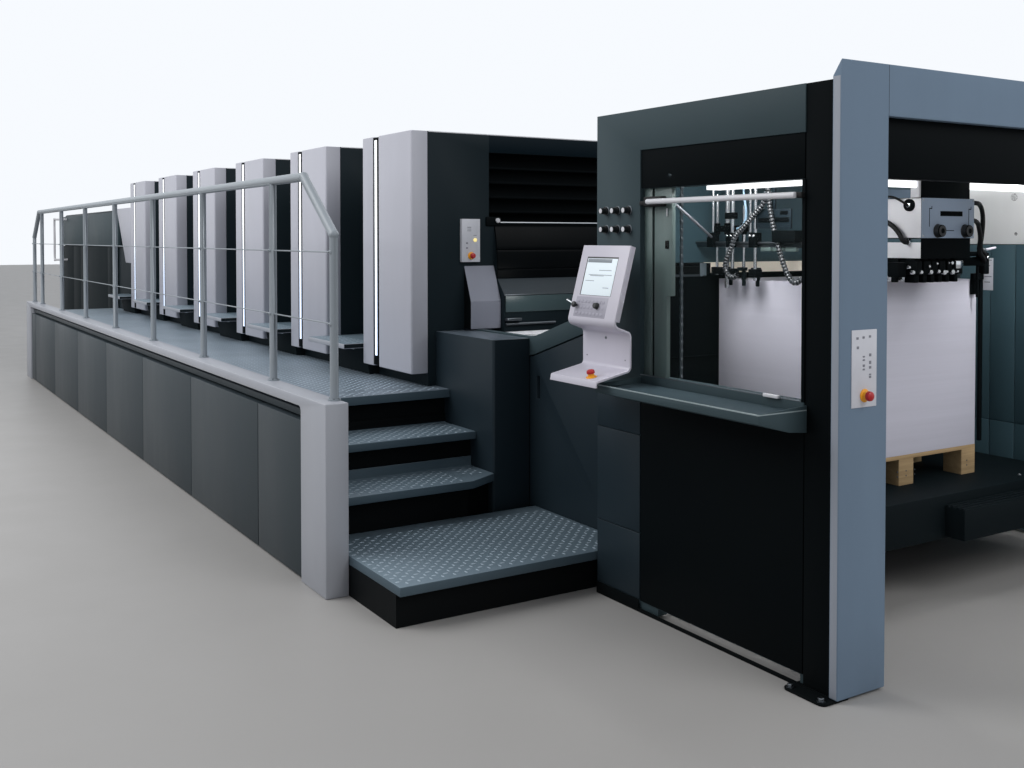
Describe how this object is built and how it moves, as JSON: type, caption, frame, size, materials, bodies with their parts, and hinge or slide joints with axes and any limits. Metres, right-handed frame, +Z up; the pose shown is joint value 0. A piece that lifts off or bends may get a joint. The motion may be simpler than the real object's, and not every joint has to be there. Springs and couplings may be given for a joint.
{
  "type": "sheet-fed offset printing press",
  "caption": "Long sheet-fed offset press: a pile feeder with a hoisted paper pile, a row of tall printing units, a raised gallery with stairs and railing, and a delivery.",
  "frame": {"origin": "on the floor under the middle of the whole machine, halfway along its length and width", "axes": "+X along the press towards the feeder, -X towards the delivery; -Y is the operator's side with the stairs and the console; +Z up"},
  "size_m": [14.573, 4.698, 2.169],
  "materials": {
    "black_metal": "matt black enamel",
    "black_panel": "satin black enamel",
    "black_plastic": "black plastic",
    "blue_grey_paint": "satin enamel",
    "board_metal": "worn dark enamel",
    "chain_steel": "oiled steel",
    "clear_guard": "clear guard sheet",
    "console_paint": "satin enamel",
    "dark_casting": "satin near-black enamel",
    "dark_panel": "satin dark enamel",
    "drum_steel": "ground steel",
    "frame_paint": "satin enamel",
    "green_grey_paint": "satin enamel",
    "guard_black": "semi-gloss black enamel",
    "light_diffuser": "opal diffuser of a light strip",
    "light_panel": "satin enamel",
    "mid_grey_paint": "satin enamel",
    "pale_panel": "satin enamel",
    "pallet_wood": "raw pallet wood",
    "paper": "stack of coated sheets",
    "rail_paint": "satin enamel",
    "riser_black": "matt black enamel",
    "skirt_paint": "satin dark enamel",
    "stile_paint": "satin enamel",
    "table_metal": "satin enamel",
    "teal_panel": "satin enamel",
    "tread_plate": "lentil tread plate",
    "walkway_plate": "lentil tread plate",
    "white_paint": "satin enamel",
    "white_plate": "satin plastic"
  },
  "bodies": {
    "press": {"machine_base": "dark_casting", "feeder_portal": "blue_grey_paint", "portal_feet": "black_metal", "feeder_side_frame_os": "green_grey_paint", "feeder_side_frame_ds": "green_grey_paint", "feeder_roof": "green_grey_paint", "feeder_canopy": "black_metal", "feeder_lower_panels": "black_panel", "corner_panels": "dark_panel", "drive_side_lining": "teal_panel", "lining_header": "pale_panel", "feeder_lights": "light_diffuser", "feeder_window": "clear_guard", "window_stiles": "stile_paint", "window_handle": "white_paint", "feeder_tray": "green_grey_paint", "console": "console_paint", "control_knobs": "black_plastic", "control_plates": "white_plate", "suction_head": "black_metal", "suckers": "black_metal", "hoist_chains": "chain_steel", "pile_guides": "black_metal", "feed_table": "table_metal", "feed_table_covers": "dark_panel", "cover_bands": "green_grey_paint", "side_cabinet": "dark_panel", "cabinet_guard": "mid_grey_paint", "printing_unit_1": "dark_casting", "printing_unit_2": "dark_casting", "printing_unit_3": "dark_casting", "printing_unit_4": "dark_casting", "printing_unit_5": "dark_casting", "printing_unit_6": "dark_casting", "unit_doors": "light_panel", "light_bars": "light_diffuser", "cylinder_guards": "guard_black", "guard_glass": "clear_guard", "guard_rods": "drum_steel", "transfer_drums": "drum_steel", "step_plates": "tread_plate", "gallery_frame_os": "frame_paint", "gallery_frame_ds": "frame_paint", "skirt_panels": "skirt_paint", "walkways": "walkway_plate", "railing_os": "rail_paint", "railing_ds": "rail_paint", "podiums": "tread_plate", "stair_treads": "tread_plate", "stair_risers": "riser_black", "transfer_cover": "light_panel", "delivery_housing": "dark_casting", "delivery_panels": "green_grey_paint", "delivery_doors": "dark_panel", "head_hoses": "black_plastic"},
    "pile_lift": {"pile_board": "board_metal", "pallet": "pallet_wood", "paper_stack": "paper"}
  },
  "joints": [
    {"name": "pile_hoist", "type": "slide", "parent": "press", "child": "pile_lift", "axis": [0, 0, 1], "range_m": [-0.24, 0]}
  ]
}
